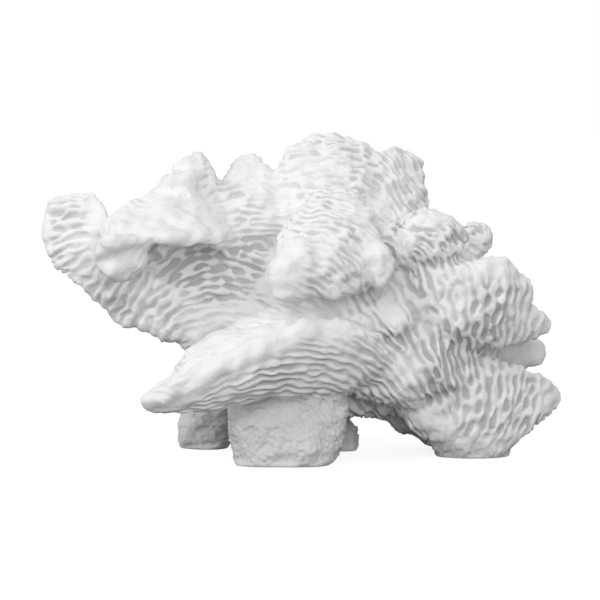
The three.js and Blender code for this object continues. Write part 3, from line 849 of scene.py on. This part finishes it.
def chalkMaterial(name, look):
    material = bpy.data.materials.new(name)
    material.use_nodes = True
    nodes, links = material.node_tree.nodes, material.node_tree.links
    surface = nodes["Principled BSDF"]
    skinNode = nodes.new("ShaderNodeGroup")
    skinNode.node_tree = chalkGroup
    for tint in ("crest", "valleyshade", "stain"):
        skinNode.inputs[tint.capitalize()].default_value = (*look[tint], 1)
    skinNode.inputs["Stain Amount"].default_value = look["stainAmount"]
    skinNode.inputs["Grain Scale"].default_value = look["grainScale"]
    # This attribute carries the painted shade of the valleys.
    deep = nodes.new("ShaderNodeAttribute")
    deep.attribute_name = "valleyshade"
    links.new(deep.outputs["Fac"], skinNode.inputs["Depth"])
    links.new(skinNode.outputs["Color"], surface.inputs["Base Color"])
    links.new(skinNode.outputs["Roughness"], surface.inputs["Roughness"])
    bump = nodes.new("ShaderNodeBump")
    bump.inputs["Strength"].default_value = look["bump"]
    bump.inputs["Distance"].default_value = chalk["bumpDistance"]
    links.new(skinNode.outputs["Height"], bump.inputs["Height"])
    links.new(bump.outputs["Normal"], surface.inputs["Normal"])
    surface.inputs["Specular IOR Level"].default_value = chalk["specular"]
    return material


# The crest colour is the chalk's own, the valley colour is painted shade and the stain is random
# clouding.
plateLook = {
    "crest": (0.89, 0.89, 0.875), "valleyshade": (0.52, 0.52, 0.505), "stain": (0.78, 0.775, 0.74),
    "stainAmount": 0.35, "grainScale": 1200, "bump": 0.6,
}
# The feet too: their valley colour is painted shade.
footLook = {
    "crest": (0.78, 0.78, 0.765), "valleyshade": (0.6, 0.6, 0.585), "stain": (0.66, 0.655, 0.63),
    "stainAmount": 0.6, "grainScale": 900, "bump": 1.0,
}
materials = {
    "coral": chalkMaterial("chalkyPlates", plateLook),
    "coral_foot": chalkMaterial("sawnFeet", footLook),
}


# Labels are evened out so that each piece is one patch of the skin.
quadOwner = owner[quads[:, 0]]
for turn in range(colony["voteTurns"]):
    votes = np.zeros((len(position), len(allPieces)), np.int16)
    for k in range(4):
        np.add.at(votes, (quads[:, k], quadOwner), 1)
    quadOwner = votes[quads].sum(1).argmax(1)
smallOwner = np.tile(quadOwner, 4)
inner = position - normal * np.minimum(colony["wall"], colony["wallShare"] * thickness)[:, None]
inner[:, 2] = np.maximum(inner[:, 2], np.minimum(position[:, 2], 0) + colony["floorGap"])
edgeKey = single[:, 0] * len(position) + single[:, 1]


# The patch of skin, the same patch further in, and a strip that joins their rims.
def patchMesh(name, number):
    coarse = quads[quadOwner == number]
    fine = fineQuads[smallOwner == number]
    used, outer = np.unique(fine, return_inverse=True)
    outer = outer.reshape(-1, 4)
    usedIn, under = np.unique(coarse, return_inverse=True)
    under = under.reshape(-1, 4) + len(used)
    edges = edgesOf(coarse)
    key = np.sort(edges, axis=1)
    key = key[:, 0] * len(position) + key[:, 1]
    _, place, times = np.unique(key, return_inverse=True, return_counts=True)
    rim = times[place.ravel()] == 1
    a, b = edges[rim, 0], edges[rim, 1]
    m = len(position) + np.searchsorted(edgeKey, key[rim])
    aOut, bOut, mOut = (np.searchsorted(used, v) for v in (a, b, m))
    aIn, bIn = (np.searchsorted(usedIn, v) + len(used) for v in (a, b))
    strip = np.vstack([np.stack([mOut, aOut, aIn], -1), np.stack([mOut, aIn, bIn], -1),
                       np.stack([bOut, mOut, bIn], -1)])
    coords = np.vstack([finePosition[used], inner[usedIn]]) + np.array(colony["shift"])
    normals = np.vstack([fineNormal[used], -normal[usedIn]])
    square = np.vstack([outer, under[:, ::-1]])
    mesh = bpy.data.meshes.new(name)
    mesh.vertices.add(len(coords))
    mesh.vertices.foreach_set("co", (coords * mm).astype(np.float32).ravel())
    mesh.loops.add(len(square) * 4 + len(strip) * 3)
    corners = np.concatenate([square.ravel(), strip.ravel()])
    mesh.loops.foreach_set("vertex_index", corners.astype(np.int32))
    mesh.polygons.add(len(square) + len(strip))
    starts = np.concatenate([np.arange(len(square)) * 4, len(square) * 4 + np.arange(len(strip)) * 3])
    mesh.polygons.foreach_set("loop_start", starts.astype(np.int32))
    mesh.polygons.foreach_set("use_smooth", np.ones(len(square) + len(strip), bool))
    mesh.update(calc_edges=True)
    # Painted shade for each point: by the valley's depth on the skin, full shade on the inner shell.
    shade = mesh.attributes.new("valleyshade", "FLOAT", "POINT")
    paintedShade = np.concatenate([valleyshade[used], np.ones(len(usedIn))])
    shade.data.foreach_set("value", paintedShade.astype(np.float32))
    mesh.normals_split_custom_set_from_vertices(normals.astype(np.float32).tolist())
    return mesh, len(square) * 2 + len(strip)


total = 0
for number, piece in enumerate(allPieces):
    mesh, count = patchMesh(piece["node"] + "_skin", number)
    part = bpy.data.objects.new(piece["node"] + "_skin", mesh)
    bpy.context.scene.collection.objects.link(part)
    mesh.materials.append(materials[piece["slot"]])
    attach(part, "root")
    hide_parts(piece["node"])
    total += count
    print("coral:", piece["node"], count, "triangles")
print("coral: pieces made,", total, "triangles")

# Floor, light and camera. The floor and the backdrop look paler to the camera than they light.
studio = {
    "floor": 0.22, "floorRoughness": 0.9, "floorGlow": 0.87, "floorReach": 6.0, "floorDrop": 0.0002,
    "world": 0.54, "backdrop": 1.0, "aim": (0, 0, 0.07),
}
lamps = [
    {"name": "key", "place": (-0.95, -0.7, 1.15), "size": 0.55, "energy": 4.2},
    {"name": "front", "place": (0.15, -1.7, 0.75), "size": 1.0, "energy": 12.2},
    {"name": "back", "place": (0.9, 1.5, 0.9), "size": 0.9, "energy": 2.5},
    {"name": "left", "place": (-1.4, -0.6, 0.35), "size": 0.6, "energy": 4.2},
]
floorMesh = bpy.data.meshes.new("floor")
reach = studio["floorReach"]
floorMesh.from_pydata([(-reach, -reach, 0), (reach, -reach, 0), (reach, reach, 0), (-reach, reach, 0)],
                      [], [(0, 1, 2, 3)])
floorObject = bpy.data.objects.new("floor", floorMesh)
floorObject.location.z = -studio["floorDrop"]
bpy.context.scene.collection.objects.link(floorObject)
floorMaterial = bpy.data.materials.new("paleFloor")
floorMaterial.use_nodes = True
floorNodes, floorLinks = floorMaterial.node_tree.nodes, floorMaterial.node_tree.links
floorSurface = floorNodes["Principled BSDF"]
floorSurface.inputs["Base Color"].default_value = (studio["floor"],) * 3 + (1,)
floorSurface.inputs["Roughness"].default_value = studio["floorRoughness"]
floorSurface.inputs["Emission Color"].default_value = (1, 1, 1, 1)
floorSeen = floorNodes.new("ShaderNodeLightPath")
glow = floorNodes.new("ShaderNodeMath")
glow.operation = "MULTIPLY"
glow.inputs[1].default_value = studio["floorGlow"]
floorLinks.new(floorSeen.outputs["Is Camera Ray"], glow.inputs[0])
floorLinks.new(glow.outputs[0], floorSurface.inputs["Emission Strength"])
floorMesh.materials.append(floorMaterial)

world = bpy.data.worlds.new("studio")
bpy.context.scene.world = world
world.use_nodes = True
worldNodes, worldLinks = world.node_tree.nodes, world.node_tree.links
seen = worldNodes.new("ShaderNodeLightPath")
brightness = worldNodes.new("ShaderNodeMapRange")
brightness.inputs["To Min"].default_value = studio["world"]
brightness.inputs["To Max"].default_value = studio["backdrop"]
worldLinks.new(seen.outputs["Is Camera Ray"], brightness.inputs["Value"])
worldLinks.new(brightness.outputs["Result"], worldNodes["Background"].inputs["Strength"])
worldNodes["Background"].inputs["Color"].default_value = (1, 1, 1, 1)

for lamp in lamps:
    data = bpy.data.lights.new(lamp["name"], "AREA")
    data.size = lamp["size"]
    data.energy = lamp["energy"]
    lampObject = bpy.data.objects.new(lamp["name"], data)
    lampObject.location = lamp["place"]
    aimed = Vector(studio["aim"]) - Vector(lamp["place"])
    lampObject.rotation_euler = aimed.to_track_quat("-Z", "Y").to_euler()
    bpy.context.scene.collection.objects.link(lampObject)

view = {
    "elevation": 5.0, "distance": 1.3, "target": (-0.0015, -0.0047, 0.0779), "lens": 156.0, "sensor": 36,
    "clipStart": 0.05, "clipEnd": 50,
}
tilt = math.radians(view["elevation"])
cameraData = bpy.data.cameras.new("camera")
cameraData.sensor_width = view["sensor"]
cameraData.lens = view["lens"]
cameraData.clip_start = view["clipStart"]
cameraData.clip_end = view["clipEnd"]
camera = bpy.data.objects.new("camera", cameraData)
back = Vector((0, -math.cos(tilt), math.sin(tilt)))
camera.location = Vector(view["target"]) + back * view["distance"]
camera.rotation_euler = (-back).to_track_quat("-Z", "Y").to_euler()
bpy.context.scene.collection.objects.link(camera)
bpy.context.scene.camera = camera
bpy.context.scene.view_settings.view_transform = "Standard"
print("coral: studio set")
